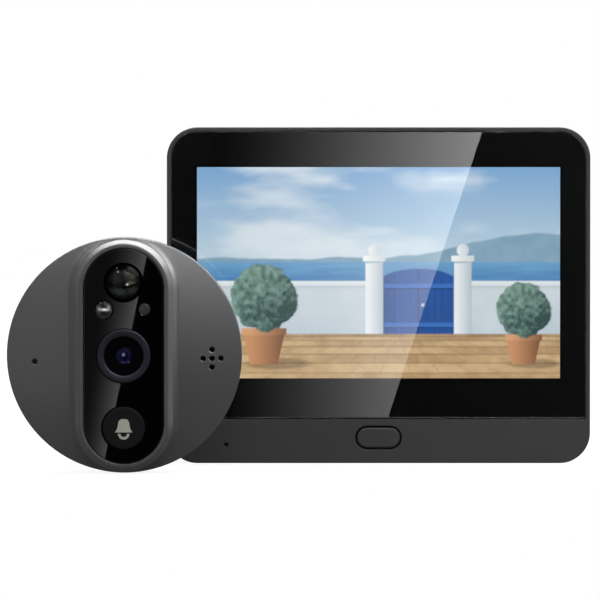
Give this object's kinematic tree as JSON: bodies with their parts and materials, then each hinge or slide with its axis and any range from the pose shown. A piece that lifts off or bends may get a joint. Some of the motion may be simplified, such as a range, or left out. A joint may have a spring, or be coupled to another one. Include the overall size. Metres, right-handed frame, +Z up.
{
  "type": "peephole door camera",
  "caption": "Round outdoor door camera with lens, motion sensor and bell button on a hollow threaded barrel, with its indoor screen monitor and hooked steel door bracket.",
  "frame": {"origin": "centre of the flat foot of the monitor's front frame, on the surface that both units stand on", "axes": "+X to the right of someone facing the screen, +Y away from them into the door side, +Z up; both units face -Y"},
  "size_m": [0.1508, 0.0739, 0.0879],
  "materials": {
    "housing_grey": "satin sprayed ABS housing",
    "case_charcoal": "fine matt moulded ABS",
    "panel_black": "polished black acrylic",
    "cover_glass": "polished flat glass",
    "print_black": "black screen print",
    "screen": "lit liquid crystal cell",
    "backlight_white": "white reflector frame",
    "lens_ring": "dark satin anodised",
    "lens_black": "matt black",
    "lens_glass": "coated lens glass",
    "pir_poly": "smoky polyethylene",
    "led_clear": "clear resin",
    "led_chip": "phosphor and white body",
    "reflector": "bright plating",
    "light_window": "tinted clear acrylic",
    "bell_black": "matt black button",
    "bell_print": "pale inlay",
    "rubber_black": "soft black rubber",
    "foam_grey": "closed-cell foam",
    "board_green": "solder-masked glass fibre",
    "chip_black": "moulded chip packages",
    "socket_ivory": "ivory nylon",
    "switch_black": "black nylon",
    "steel": "bright zinc plate",
    "plated_barrel": "satin nickel on brass thread",
    "nut_brass": "turned brass",
    "battery_wrap": "silver pouch",
    "speaker_dark": "black speaker body",
    "mesh_black": "fine black dust mesh"
  },
  "bodies": {
    "monitor": {"front_frame": "case_charcoal", "cover_glass": "cover_glass", "glass_mask": "print_black", "lcd_cell": "screen", "lcd_backlight": "backlight_white", "key_switch": "steel", "monitor_board": "board_green", "monitor_chips": "chip_black", "battery": "battery_wrap", "monitor_speaker": "speaker_dark", "monitor_mic": "steel", "monitor_mic_boot": "rubber_black", "usb_socket": "steel", "power_switch": "steel", "rear_cover": "case_charcoal", "cable_socket": "socket_ivory", "cover_screws": "steel", "board_screws": "steel"},
    "key_button": {"key_cap": "case_charcoal", "key_plunger": "switch_black"},
    "power_slider": {"power_knob": "switch_black"},
    "bracket": {"door_bracket": "steel", "nut_cage": "steel"},
    "nut": {"clamp_nut": "nut_brass"},
    "camera": {"camera_shell": "housing_grey", "camera_cover": "housing_grey", "rear_seal": "rubber_black", "door_pad": "foam_grey", "barrel": "plated_barrel", "front_panel": "panel_black", "panel_gasket": "rubber_black", "pir_lens": "pir_poly", "pir_sensor": "steel", "led_reflector": "reflector", "led_lens": "led_clear", "led_emitter": "led_chip", "light_guide": "light_window", "light_sensor": "chip_black", "lens_ring": "lens_ring", "lens_barrel": "lens_black", "lens_eye": "lens_glass", "lens_holder": "lens_black", "image_sensor": "chip_black", "bell_switch": "steel", "camera_board": "board_green", "camera_chips": "chip_black", "ribbon_socket": "socket_ivory", "camera_speaker": "speaker_dark", "speaker_mesh": "mesh_black", "camera_mic": "steel", "camera_mic_boot": "rubber_black", "camera_cover_screws": "steel", "camera_board_screws": "steel"},
    "bell_button": {"bell_cap": "bell_black", "bell_mark": "bell_print", "bell_plunger": "switch_black"}
  },
  "joints": [
    {"name": "key_press", "type": "slide", "parent": "monitor", "child": "key_button", "axis": [0, 1, 0], "range_m": [0, 0.0005], "stiffness_N_per_m": 600, "springref_m": -0.0005},
    {"name": "power_slide", "type": "slide", "parent": "monitor", "child": "power_slider", "axis": [0, 0, -1], "range_m": [0, 0.0025]},
    {"name": "bracket_unhook", "type": "slide", "parent": "monitor", "child": "bracket", "axis": [0, 0, -1], "range_m": [0, 0.005]},
    {"name": "nut_turn", "type": "hinge", "parent": "bracket", "child": "nut", "pos_m": [0, 0.01135, 0.05], "axis": [0, 1, 0], "continuous": true},
    {"name": "camera_carry", "type": "slide", "parent": "monitor", "child": "camera", "axis": [0, -1, 0], "range_m": [0, 0.1]},
    {"name": "bell_press", "type": "slide", "parent": "camera", "child": "bell_button", "axis": [0, 1, 0], "range_m": [0, 0.0005], "stiffness_N_per_m": 600, "springref_m": -0.0005}
  ]
}
